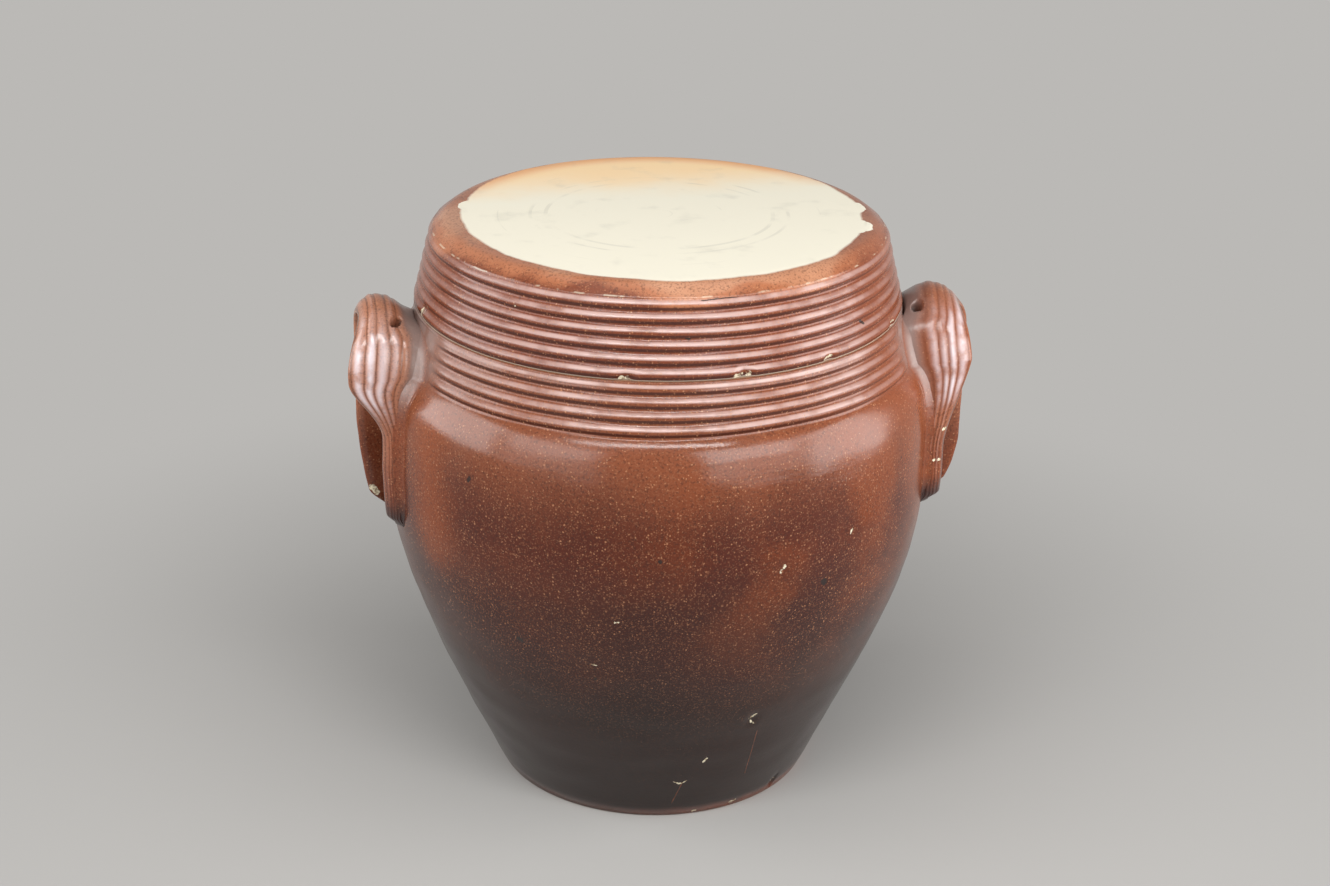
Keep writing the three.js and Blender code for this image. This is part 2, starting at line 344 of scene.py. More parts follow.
def pot_profile():
    """The pot's whole outline: outside, ledge, collar and inside."""
    collar = SEAM_RADIUS - LEDGE_WIDTH
    top = SEAM_HEIGHT + COLLAR_HEIGHT
    rim = collar - COLLAR_TAPER
    inner_rim = rim - COLLAR_THICKNESS
    return [
        (0.0, 0.0), (FOOT_RADIUS * 0.5, 0.0),
        *POT_OUTLINE,
        (collar + RIM_ROUND, SEAM_HEIGHT), (collar, SEAM_HEIGHT + RIM_ROUND),
        (rim, top - RIM_ROUND), (rim - RIM_ROUND * 0.3, top - RIM_ROUND * 0.3), (rim - RIM_ROUND, top),
        (inner_rim + RIM_ROUND, top), (inner_rim + RIM_ROUND * 0.3, top - RIM_ROUND * 0.3),
        (inner_rim, top - RIM_ROUND), (collar - COLLAR_THICKNESS, SEAM_HEIGHT),
        *reversed(upper_wall(WALL_THICKNESS)),
        *reversed(lower_wall(WALL_THICKNESS, FLOOR_THICKNESS)[:-1]),
        (0.0, FLOOR_THICKNESS),
    ]


def lid_profile():
    """The lid's whole outline: hollow, rim, ridges, bevel and top."""
    inner = SEAM_RADIUS - LEDGE_WIDTH + LID_COLLAR_CLEARANCE
    taper = COLLAR_TAPER * (LID_CEILING - LID_RIM) / COLLAR_HEIGHT
    bevel = [
        (mix(LID_ARRIS_RADIUS, LID_TOP_RADIUS, t), mix(LID_ARRIS, LID_TOP, math.sin(t * math.pi / 2)))
        for t in (0.06, 0.15, 0.3, 0.45, 0.6, 0.8)
    ]
    flat = [(LID_TOP_RADIUS * (1 - i / 24), LID_TOP) for i in range(24)]
    return [
        (0.0, LID_CEILING),
        (inner - taper - LID_INNER_ROUND, LID_CEILING), (inner - taper, LID_CEILING - LID_INNER_ROUND),
        (inner, LID_RIM + RIM_ROUND), (inner + RIM_ROUND, LID_RIM),
        *LID_OUTLINE,
        (LID_ARRIS_RADIUS + 0.2, LID_ARRIS), *bevel, *flat, (0.0, LID_TOP),
    ]


def turned(profile):
    """A closed outline spun once about Z, as a bmesh."""
    bm = bmesh.new()
    verts = [bm.verts.new((r * MM, 0.0, z * MM)) for r, z in profile]
    edges = [bm.edges.new(pair) for pair in zip(verts, verts[1:])]
    bmesh.ops.spin(
        bm, geom=verts + edges, cent=(0, 0, 0), axis=(0, 0, 1), dvec=(0, 0, 0),
        angle=math.tau, steps=TURN_STEPS, use_merge=True, use_duplicate=False,
    )
    bmesh.ops.remove_doubles(bm, verts=bm.verts, dist=WELD)
    bmesh.ops.recalc_face_normals(bm, faces=bm.faces)
    return bm


def on_jar(angle, height, radius):
    """A point in metres from an angle in degrees and a height and radius in millimetres."""
    turn = math.radians(angle)
    return Vector((radius * math.cos(turn), radius * math.sin(turn), height)) * MM


def mark(bm, name, value_of):
    """A number on each vertex, from its place, that the materials read."""
    layer = bm.verts.layers.float.new(name)
    for v in bm.verts:
        v[layer] = value_of(v.co)


def hand_thrown(co, sway):
    """Where a point of a turned surface lies on a hand-thrown one, unmoved where pot and lid have to fit."""
    radius = math.hypot(co.x, co.y)
    if radius < WELD:
        return co.copy()
    out = Vector((co.x, co.y, 0)) / radius
    height = co.z / MM
    slow = noise.noise(Vector((out.x * 1.1, out.y * 1.1, height / 60 + 3)))
    fine = noise.noise(Vector((out.x * 5, out.y * 5, height / 9 + 7)))
    rise = noise.noise(Vector((out.x * 1.9, out.y * 1.9, height / 14 + 11)))
    fit = smoothstep(abs(height - SEAM_HEIGHT), 3, 20) * smoothstep(height, 2, 25)
    moved = co + out * (slow * sway + fine * RIDGE_SWAY) * fit * MM
    moved.z += rise * RIDGE_WAVER * fit * smoothstep(LID_ARRIS - height, 0, 12) * MM
    return moved


def thrown(bm, sway):
    for v in bm.verts:
        v.co = hand_thrown(v.co, sway)


def strokes_on(outline, sway, marks):
    """The marks' ends as points of a thrown wall in metres."""
    found = []
    for *ends, size in marks:
        points = [hand_thrown(on_jar(a, z, radius_at(outline, z)), sway) for a, z in ends]
        found.append((*points, size))
    return found


def chipped(bm, strokes, depth):
    """Hollows the wall where the larger chips and pits are."""
    for start, end, size in strokes:
        if size < 0.8:
            continue
        centre = (start + end) / 2
        reach = (size * 1.3 + (end - start).length / 2 / MM) * MM
        inward = Vector((-centre.x, -centre.y, 0)).normalized()
        for v in bm.verts:
            if abs(v.co.z - centre.z) < reach and (v.co - centre).length < reach:
                v.co += inward * depth * MM * smoothstep(reach - (v.co - centre).length, 0, reach / 2)


def placed(name, data):
    """An object at the origin that shows its data in the scene."""
    holder = bpy.data.objects.new(name, data)
    bpy.context.scene.collection.objects.link(holder)
    return holder


def mesh_of(name, bm):
    mesh = bpy.data.meshes.new(name)
    bm.to_mesh(mesh)
    bm.free()
    return mesh


def finished(name, bm, body, material, node=None):
    """Makes the bmesh an object that rides its body and, where it does, stands for its CAD node."""
    mesh = mesh_of(name, bm)
    for polygon in mesh.polygons:
        polygon.use_smooth = True
    mesh.materials.append(material)
    piece = placed(name, mesh)
    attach(piece, body)
    if node:
        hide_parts(node)


# How high on a ridge a plain surface counts, between its valleys at 0 and its crests at 1, and how far
# above the ridge's middle, as a share of its width, the glaze is thinnest. The shift also puts a painted
# highlight on each ridge's upper flank and painted shade on its lower flank.
PLAIN = 0.5
CREST_SHIFT = 0.19


def ridge_crest(height, start, end, count):
    """How high on a ridge's upper side a height lies, and plain outside the band."""
    share = (height - start) / (end - start)
    return ridge_lift((share * count - CREST_SHIFT) % 1) if 0 <= share < 1 else PLAIN


def from_ears(co):
    """How far round the jar a point is from the nearer ear's middle, in degrees."""
    angle = math.degrees(math.atan2(co.y, co.x))
    return min(abs((angle - ear["turn"] + 180) % 360 - 180) for ear in (LEFT_EAR, RIGHT_EAR))


def wiped_by_ears(bm):
    """Wipes the neck's ridges away beside the ears, where the luting clay was smeared over them."""
    for v in bm.verts:
        height = v.co.z / MM
        radius = math.hypot(v.co.x, v.co.y) / MM
        on_neck = SHOULDER_HEIGHT < height < SEAM_HEIGHT - LIP_HEIGHT and radius > SEAM_RADIUS - 0.5
        if on_neck:
            kept = smoothstep(from_ears(v.co), RIDGES_GONE, RIDGES_FULL)
            share = mix(wall_seat(height), radius, kept) / radius
            v.co.x *= share
            v.co.y *= share


def arch_spring(ear):
    """Height where the ear's arch springs from its legs."""
    return ear["crown"]["height"] - STRAP_THICKNESS / 2 - EAR_ARCH_RISE


def crown_share(around):
    """How near a place round the wall is to the crown: 0 on the legs, 1 at the middle of the arch."""
    return max(0.0, 1 - (around / (EAR_SPAN / 2)) ** 2)


def crown_droop(ear, across):
    """How far the strap droops from its peak towards its inner and its outer edge."""
    crown = ear["crown"]
    peak = crown["peak"]
    if across < peak:
        return crown["inner_droop"] * ((peak - across) / peak) ** 2
    return crown["outer_droop"] * ((across - peak) / (1 - peak)) ** 2


def strap_line(ear):
    """Middle line of the strap, unrolled, as (round the wall, height) points with their lengths."""
    half = EAR_SPAN / 2
    spring = arch_spring(ear)
    first, last = ("front", "back") if ear["front_side"] < 0 else ("back", "front")
    points = [(-half, mix(ear[first]["tail"], spring, i / LEG_STEPS)) for i in range(LEG_STEPS)]
    for i in range(ARCH_STEPS + 1):
        angle = math.pi * (1 - i / ARCH_STEPS)
        points.append((half * math.cos(angle), spring + EAR_ARCH_RISE * math.sin(angle)))
    points += [(half, mix(spring, ear[last]["tail"], i / LEG_STEPS)) for i in range(1, LEG_STEPS + 1)]
    lengths = [0.0]
    for a, b in zip(points, points[1:]):
        lengths.append(lengths[-1] + math.dist(a, b))
    return points, lengths


def place_on(line, share):
    """Place, direction and distance to the nearer end at a share of a line's length."""
    points, lengths = line
    wanted = min(max(share, 0.0), 1.0) * lengths[-1]
    k = max(i for i in range(len(points) - 1) if lengths[i] <= wanted + WELD)
    a, b = points[k], points[k + 1]
    length = math.dist(a, b)
    part = (wanted - lengths[k]) / length
    place = (mix(a[0], b[0], part), mix(a[1], b[1], part))
    along = ((b[0] - a[0]) / length, (b[1] - a[1]) / length)
    return place, along, min(wanted, lengths[-1] - wanted)


def strap_reach(ear, around, height):
    """Distance of the strap's outer edge from the jar's axis."""
    back = smoothstep(-around * ear["front_side"], -EAR_SPAN / 2, EAR_SPAN / 2)
    leg = ear["front"] if back < 0.5 else ear["back"]
    legs = mix(ear["front"]["stand"], ear["back"]["stand"], back)
    stand = mix(legs, ear["crown"]["stand"], crown_share(around))
    wall = radius_at(POT_OUTLINE, height)
    tail = wall + ear["tail_width"]
    reach = mix(tail, BELLY_RADIUS + stand, smoothstep(height, *leg["sweep"]))
    from_tip = smoothstep(height, leg["tail"], leg["tail"] + leg["tip_round"])
    return mix(mix(wall, tail, EAR_TIP_SHARE), reach, from_tip)


def wall_seat(height):
    """Radius of the wall under the ears, with the neck's ridges left out."""
    if height < SHOULDER_HEIGHT:
        return radius_at(POT_OUTLINE, height)
    return mix(SHOULDER_RADIUS, SEAM_RADIUS, min((height - SHOULDER_HEIGHT) / NECK_HEIGHT, 1.0))


def strap_seat(height):
    """Distance from the axis of the strap's inner edge: just inside the wall, clear of the lid's way."""
    passing = SEAM_RADIUS + RIDGE_HEIGHT + LID_PASS_CLEARANCE
    return mix(wall_seat(height) - STRAP_BITE, passing, smoothstep(height, SEAM_HEIGHT - 7, SEAM_HEIGHT - 1))


def ear_point(ear, around, height, radius):
    """A point of the wall's unrolled strip, bent round the jar and turned to the ear's place."""
    return on_jar(math.degrees(around / BELLY_RADIUS) + ear["turn"], height, radius)


def strap_thickness(to_end):
    """Thickness of the strap, which thins over its tail and is rounded off at its very end."""
    thickness = mix(STRAP_TAIL_THICKNESS, STRAP_THICKNESS, smoothstep(to_end, 0, STRAP_TAIL_LENGTH))
    left = 1 - min(to_end / STRAP_END_ROUND, 1.0)
    return thickness * max(math.sqrt(1 - left * left), 0.1)


def strap_ridge(ear, share, across):
    """How high on one of the strap's lengthwise ridges a place lies: 0 in the grooves between them to 1."""
    drift = STRAP_RIDGE_DRIFT * noise.noise(Vector((across * 2.6, share * 1.6, ear["turn"])))
    strength = 0.7 + 0.55 * noise.noise(Vector((across * STRAP_RIDGES, share * 4, ear["turn"])))
    clear = smoothstep(across, ROOT_FULL, ROOT_START)
    return ridge_lift(STRAP_RIDGES * (across + drift) % 1) * strength * clear


def strap_point(ear, line, share, turn):
    """A point of the strap's skin: share along it, and turn round its section from its inner edge."""
    place, along, to_end = place_on(line, share)
    across = math.sin(math.pi * turn)
    half = strap_thickness(to_end) / 2 * (1 - across ** STRAP_EDGE_POWER) ** 0.5
    ridge = STRAP_RIDGE_HEIGHT * strap_ridge(ear, share, across) * min(half / 2, 1.0)
    off = half + ridge if turn < 0.5 else -half
    off -= mix(STRAP_BEND * across ** 2, crown_droop(ear, across), crown_share(place[0]))
    around = place[0] - along[1] * off
    height = place[1] + along[0] * off
    outer = strap_reach(ear, *place)
    return ear_point(ear, around, height, mix(strap_seat(height), outer, across))


def string_hole_faces(bm, ear, length):
    """The two patches, one on each side of the strap, that the string hole takes."""
    hole = ear["hole"]
    centre = hole["along"] if ear["front_side"] < 0 else 1 - hole["along"]
    width = BELLY_RADIUS + ear["crown"]["stand"] - SEAM_RADIUS
    lean = math.radians(hole["lean"]) * ear["front_side"]
    sides = ([], [])
    for face in bm.faces:
        middle = face.calc_center_median()
        turn = middle.y + 0.5
        along = (middle.x + 0.5 - centre) * length
        across = (math.sin(math.pi * turn) - hole["across"]) * width
        long_way = along * math.cos(lean) + across * math.sin(lean)
        short_way = across * math.cos(lean) - along * math.sin(lean)
        if math.hypot(long_way / hole["length"], short_way / hole["width"]) < 0.5:
            sides[0 if turn < 0.5 else 1].append(face)
    return sides


def pierced(bm, ear, length):
    """Cuts the string hole through the rolled grid and walls it."""
    rims = []
    for patch in string_hole_faces(bm, ear, length):
        inside = set(patch)
        edges = {edge for face in patch for edge in face.edges}
        rims += [edge for edge in edges if sum(face in inside for face in edge.link_faces) == 1]
        bmesh.ops.delete(bm, geom=patch, context="FACES")
    rims = [edge for edge in rims if edge.is_valid]
    bmesh.ops.bridge_loops(bm, edges=rims)
    return list({vert for edge in rims for vert in edge.verts})


def closed_skin(bm):
    """Merges the rolled grid's edges and closes its ends."""
    bmesh.ops.remove_doubles(bm, verts=bm.verts, dist=WELD)
    bmesh.ops.holes_fill(bm, edges=[edge for edge in bm.edges if edge.is_boundary], sides=0)
    bmesh.ops.triangulate(bm, faces=[face for face in bm.faces if len(face.verts) > 4])
    bmesh.ops.recalc_face_normals(bm, faces=bm.faces)


def tail_tip(ear, line, share):
    """1 at the very end of the front leg's tail, where painted shade darkens it, falling to 0 above it."""
    to_front = share if ear["front_side"] < 0 else 1 - share
    return 1 - smoothstep(to_front * line[1][-1], 0.3 * TIP_SHADE_LENGTH, TIP_SHADE_LENGTH)


def ear_strap(ear):
    """The strap: a grid rolled into a tube, pierced for string and moved onto the ear's form."""
    bm = bmesh.new()
    bmesh.ops.create_grid(bm, x_segments=STRAP_STEPS, y_segments=STRAP_TURN_STEPS, size=0.5)
    line = strap_line(ear)
    for name in ("crest", "root", "tip", "bloom_and_highlight"):
        bm.verts.layers.float.new(name)
    crest, root, tip, bloom_and_highlight = bm.verts.layers.float.values()
    rim = pierced(bm, ear, line[1][-1])
    for v in bm.verts:
        share, turn = v.co.x + 0.5, v.co.y + 0.5
        across = math.sin(math.pi * turn)
        outside = smoothstep(turn, 0.52, 0.48)
        ridge = strap_ridge(ear, share, across)
        v[crest] = mix(PLAIN, 0.22 + 0.78 * ridge, outside)
        v[root] = 1 - smoothstep(across, ROOT_FULL, ROOT_START)
        v[tip] = tail_tip(ear, line, share)
        v.co = strap_point(ear, line, share, turn)
        height = v.co.z / MM
        # Pale salt bloom on the ridges of the strap's outer face: partly real, partly a painted highlight
        band = smoothstep(height, BLOOM_AND_HIGHLIGHT_BOTTOM, BLOOM_AND_HIGHLIGHT_BOTTOM + 16) * smoothstep(BLOOM_AND_HIGHLIGHT_TOP - height, -2, 10)
        v[bloom_and_highlight] = outside * band * smoothstep(across, 0.3, 0.55) * smoothstep(across, 0.985, 0.93) * ridge
    for _ in range(HOLE_SMOOTHINGS):
        bmesh.ops.smooth_vert(bm, verts=rim, factor=0.5, use_axis_x=True, use_axis_y=True, use_axis_z=True)
    closed_skin(bm)
    thrown(bm, POT_SWAY)
    return bm


def smear_section(turn, width, climb, lip):
    """Distance from the strap and height above the wall of the smear's skin, first bare, then buried."""
    if turn < SMEAR_EXPOSED:
        share = turn / SMEAR_EXPOSED
        ridge = lip * math.exp(-((share - 0.84) / 0.09) ** 2)
        return mix(-SMEAR_TUCK, width, share), climb * (1 - share) ** 2.2 + ridge - SMEAR_TUCK * share ** 6
    share = (turn - SMEAR_EXPOSED) / (1 - SMEAR_EXPOSED)
    return mix(width, -SMEAR_TUCK, share), -SMEAR_TUCK - math.sin(math.pi * share)


def smear_point(ear, line, side, share, turn):
    """A point of the clay smeared along the strap's outside, side 1, or its inside, side -1."""
    place, along, to_end = place_on(line, share)
    droop = crown_droop(ear, 0) * crown_share(place[0])
    face = side * strap_thickness(to_end) / 2 - droop
    face_height = place[1] + along[0] * face
    on_neck = smoothstep(face_height, SHOULDER_HEIGHT - 16, SHOULDER_HEIGHT + 4)
    waver = 1 + 0.4 * noise.noise(Vector((share * 12, side, ear["turn"])))
    size = smoothstep(to_end, -4, SMEAR_TAIL) * waver
    if side > 0:
        size *= smoothstep(SEAM_HEIGHT - SMEAR_END_GAP - face_height, 0, 9)
        width = mix(SMEAR_WIDTH, SMEAR_NECK_WIDTH, on_neck) * size
    else:
        size *= SMEAR_INNER_SHARE
        width = SMEAR_WIDTH * size
    far, above = smear_section(turn, width, SMEAR_CLIMB * size, SMEAR_LIP * (1 - on_neck) * (side > 0))
    off = face + side * far
    height = min(place[1] + along[0] * off, SEAM_HEIGHT - SMEAR_END_GAP)
    return ear_point(ear, place[0] - along[1] * off, height, wall_seat(height) + above)


def luting(ear):
    """The clay smeared into the corners where the strap meets the wall."""
    bm = bmesh.new()
    for name in ("root", "tip"):
        bm.verts.layers.float.new(name)
    root, tip = bm.verts.layers.float.values()
    line = strap_line(ear)
    for side, start, end in ((1, 0.0, LEG_SHARE), (1, 1 - LEG_SHARE, 1.0), (-1, 0.0, 1.0)):
        made = bmesh.ops.create_grid(bm, x_segments=SMEAR_STEPS, y_segments=SMEAR_TURN_STEPS, size=0.5)
        for v in made["verts"]:
            share = mix(start, end, v.co.x + 0.5)
            turn = v.co.y + 0.5
            v[tip] = tail_tip(ear, line, share)
            v[root] = smoothstep(turn / SMEAR_EXPOSED, 0.95, 0.2)
            v.co = smear_point(ear, line, side, share, turn)
    closed_skin(bm)
    mark(bm, "crest", lambda co: PLAIN)
    thrown(bm, POT_SWAY)
    return bm


def linear(code):
    """An sRGB hex colour as linear red, green, blue and alpha."""
    channels = [int(code[i:i + 2], 16) / 255 for i in (1, 3, 5)]
    return (*[c / 12.92 if c <= 0.04045 else ((c + 0.055) / 1.055) ** 2.4 for c in channels], 1.0)


# Settings of the nodes that ease a number from one range to another, mix two colours and do sums
EASED = {"interpolation_type": "SMOOTHSTEP"}
COLOURS = {"data_type": "RGBA"}
TIMES = {"operation": "MULTIPLY"}
PLUS = {"operation": "ADD"}
MINUS = {"operation": "SUBTRACT"}
LARGER = {"operation": "MAXIMUM"}


def add(tree, kind, *values, named=None, out=None, **settings):
    """Adds a node with its settings, fills or links its inputs in order or by name, and gives an output."""
    node = tree.nodes.new("ShaderNode" + kind)
    for name, value in settings.items():
        setattr(node, name, value)
    usable = [socket for socket in node.inputs if socket.enabled]
    filled = list(zip(usable, values)) + [(node.inputs[name], value) for name, value in (named or {}).items()]
    for socket, value in filled:
        if isinstance(value, bpy.types.NodeSocket):
            tree.links.new(value, socket)
        else:
            socket.default_value = value
    given = [socket for socket in node.outputs if socket.enabled]
    return node.outputs[out] if out else (given or [None])[0]


def fineness(size_mm):
    """Scale of a pattern whose features are about size_mm across."""
    return 1 / (size_mm * MM)


def new_material(name):
    material = bpy.data.materials.new(name)
    material.use_nodes = True
    material.node_tree.nodes.clear()
    return material, material.node_tree


def patches(tree, place, size_mm, low, high, least=0.0, most=1.0, detail=4.0):
    """Patches about size_mm across, from least where their noise is low to most where it is high."""
    cloud = add(tree, "TexNoise", place, fineness(size_mm), detail)
    return add(tree, "MapRange", cloud, low, high, least, most, **EASED)


def strayed(tree, value, place, size_mm, reach_mm):
    """A length moved to and fro by noise, by up to about half of reach_mm each way."""
    cloud = add(tree, "TexNoise", place, fineness(size_mm), 4.0)
    drift = add(tree, "Math", add(tree, "Math", cloud, 0.5, **MINUS), reach_mm * MM, **TIMES)
    return add(tree, "Math", value, drift, **PLUS)


def banded(tree, height, bands):
    """Colours eased into each other with height, from pairs of millimetres and hex."""
    colour = linear(bands[0][1])
    for (low, _), (high, code) in zip(bands, bands[1:]):
        share = add(tree, "MapRange", height, low * MM, high * MM, **EASED)
        colour = add(tree, "Mix", share, colour, linear(code), **COLOURS)
    return colour


def away_from(tree, place, start, end):
    """Distance of a place from a stroke between two points."""
    run = end - start
    if run.length < WELD:
        return add(tree, "VectorMath", place, start, operation="DISTANCE")
    from_start = add(tree, "VectorMath", place, start, **MINUS)
    along = add(tree, "VectorMath", from_start, run / run.length_squared, operation="DOT_PRODUCT")
    held = add(tree, "Clamp", along)
    nearest = add(tree, "VectorMath", held, run, start, operation="MULTIPLY_ADD")
    return add(tree, "VectorMath", place, nearest, operation="DISTANCE")


def marked(tree, place, strokes, grain_mm, raggedness):
    """1 inside any of the strokes, each two points in metres and half a width in millimetres, ragged."""
    depth = None
    for start, end, size in strokes:
        inside = add(tree, "Math", size * MM, away_from(tree, place, start, end), **MINUS)
        depth = inside if depth is None else add(tree, "Math", depth, inside, **LARGER)
    ragged = strayed(tree, depth, place, grain_mm, raggedness)
    return add(tree, "MapRange", ragged, 0.0, MARK_SOFTNESS * MM, **EASED)


# Salt-glazed stoneware: iron slip under a thin glaze that salt thrown into the kiln left on it. The eye
# sees warm brown, darker towards the foot, tan specks, pinkish ridges with dark valleys, and wet gloss. The
# darkening towards the foot is partly painted shade, and the ridges' pink and dark are partly painted
# highlight and painted shade.
# Glaze colours by height; the darkening towards the foot is partly the glaze's own and partly painted shade
# under the belly
POT_BANDS_WITH_SHADE = ((4.0, "#180905"), (60.0, "#1e0a05"), (112.0, "#350f05"), (152.0, "#4a1a0a"), (196.0, "#794128"))
LID_BANDS = ((221.0, "#6f3520"), (250.0, "#763b24"), (254.0, "#ad6c4a"), (257.0, "#c18a69"))
EAR_BANDS = ((118.0, "#562413"), (150.0, "#713822"), (175.0, "#935940"), (215.0, "#a87055"))
SMEAR_BANDS = ((118.0, "#4a2013"), (178.0, "#743a22"), (202.0, "#7c4631"), (218.0, "#835443"))
WARM_PATCH = "#8c4216"
# Valley dark, partly pooled glaze and partly painted shade; crest pink, partly salt bloom and partly painted
# highlight
VALLEY_BROWN_AND_SHADE = "#3c160d"
CREST_PINK_AND_HIGHLIGHT = "#c4a49c"
WARM_RIGHT = "#84401f"
# Pale salt bloom of the ears, partly a painted highlight
SALT_BLOOM_AND_HIGHLIGHT = "#e0d5da"
SPECK_TAN = "#bd8660"
GRAIN_BROWN = "#2c150e"
GRAIN_TAN = "#9a6748"
BARE_CLAY = "#ddd3b8"
CHIP_SHADE = "#8f7d63"
PIT_BLACK = "#1d1816"
FOOT_RED_LINE = "#7c3b22"
ROOT_GREY = "#94827c"
# Painted shade at the tails' tips
TIP_SHADE = "#2c1a19"
SCRATCH_RUST = "#93553a"

# Tan specks of iron and clay: their spacing and how far they stray from it in millimetres, their sizes as
# shares of the spacing, how soft and how strong they are, how strong at a low and at a higher height, and
# the size in millimetres of the patches that they gather in
SPECK_SPACING = 1.05
SPECK_STRAY_SIZE = 2.6
SPECK_STRAY = 1.4
SPECK_SIZES = (0.06, 0.46)
SPECK_SOFTNESS = 0.24
SPECK_STRENGTHS = (0.1, 0.85)
SPECK_HEIGHTS = (48 * MM, 130 * MM)
SPECK_SHARES = (0.08, 0.75)
SPECK_PATCHES = 16.0

# How high on a ridge the dark of its valley ends and is full, and the pale of its crest starts and is full.
# The dark is partly glaze pooled in the valleys and partly painted shade; the pale is partly salt bloom and
# partly painted highlight.
VALLEY_AND_SHADE = (0.42, 0.1)
CREST_AND_HIGHLIGHT = (0.74, 1.0)

# Heights between which the warm patches and the lighter grain come in, how strong the single warm patches
# are, and how soft the edges of chips and pits are in millimetres
WARMTH_HEIGHTS = (50 * MM, 150 * MM)
GRAIN_HEIGHTS = (30 * MM, 125 * MM)
WARM_SPOT_SHARE = 0.6
MARK_SOFTNESS = 0.25

# Sizes in millimetres of the clay's grain, the salt's orange peel, and the patches in warmth, paleness and
# gloss, and how far the thrower's finger lines are drawn out along the wall
GRAIN_SIZE = 1.0
PEEL_SIZE = 1.6
WARMTH_SIZE = 38.0
PALENESS_SIZE = 14.0
GLOSS_SIZE = 26.0
FINGER_LINES = (8.0, 8.0, 420.0)

# Roughness of the glaze and how much bare clay adds to it, and how deep the skin's relief is
GLAZE_ROUGHNESS = (0.16, 0.25)
CLAY_ROUGHNESS = 0.55
GLAZE_IOR = 1.5
SKIN_STRENGTH = 0.3
SKIN_DEPTH = 0.25


def specked(tree, place, height, colour):
    """The colour with tan specks, up to 1 mm across and fainter towards the foot."""
    stray = add(tree, "TexNoise", place, fineness(SPECK_STRAY_SIZE), 1.0, out="Color")
    moved = add(tree, "VectorMath", stray, (SPECK_STRAY * MM,) * 3, place, operation="MULTIPLY_ADD")
    cells = add(tree, "TexVoronoi", moved, fineness(SPECK_SPACING)).node.outputs
    chance = add(tree, "SeparateColor", cells["Color"]).node.outputs
    size = add(tree, "MapRange", chance[0], 0.0, 1.0, *SPECK_SIZES, **EASED)
    inside = add(tree, "Math", size, cells["Distance"], **MINUS)
    speck = add(tree, "MapRange", inside, 0.0, SPECK_SOFTNESS, **EASED)
    strength = add(tree, "MapRange", chance[1], 0.0, 1.0, *SPECK_STRENGTHS, **EASED)
    higher = add(tree, "MapRange", height, *SPECK_HEIGHTS, *SPECK_SHARES, **EASED)
    shown = add(tree, "Math", higher, add(tree, "Math", strength, speck, **TIMES), **TIMES)
    shown = add(tree, "Math", shown, patches(tree, place, SPECK_PATCHES, 0.3, 0.6, 0.65, 1.0), **TIMES)
    return add(tree, "Mix", shown, colour, linear(SPECK_TAN), **COLOURS), speck


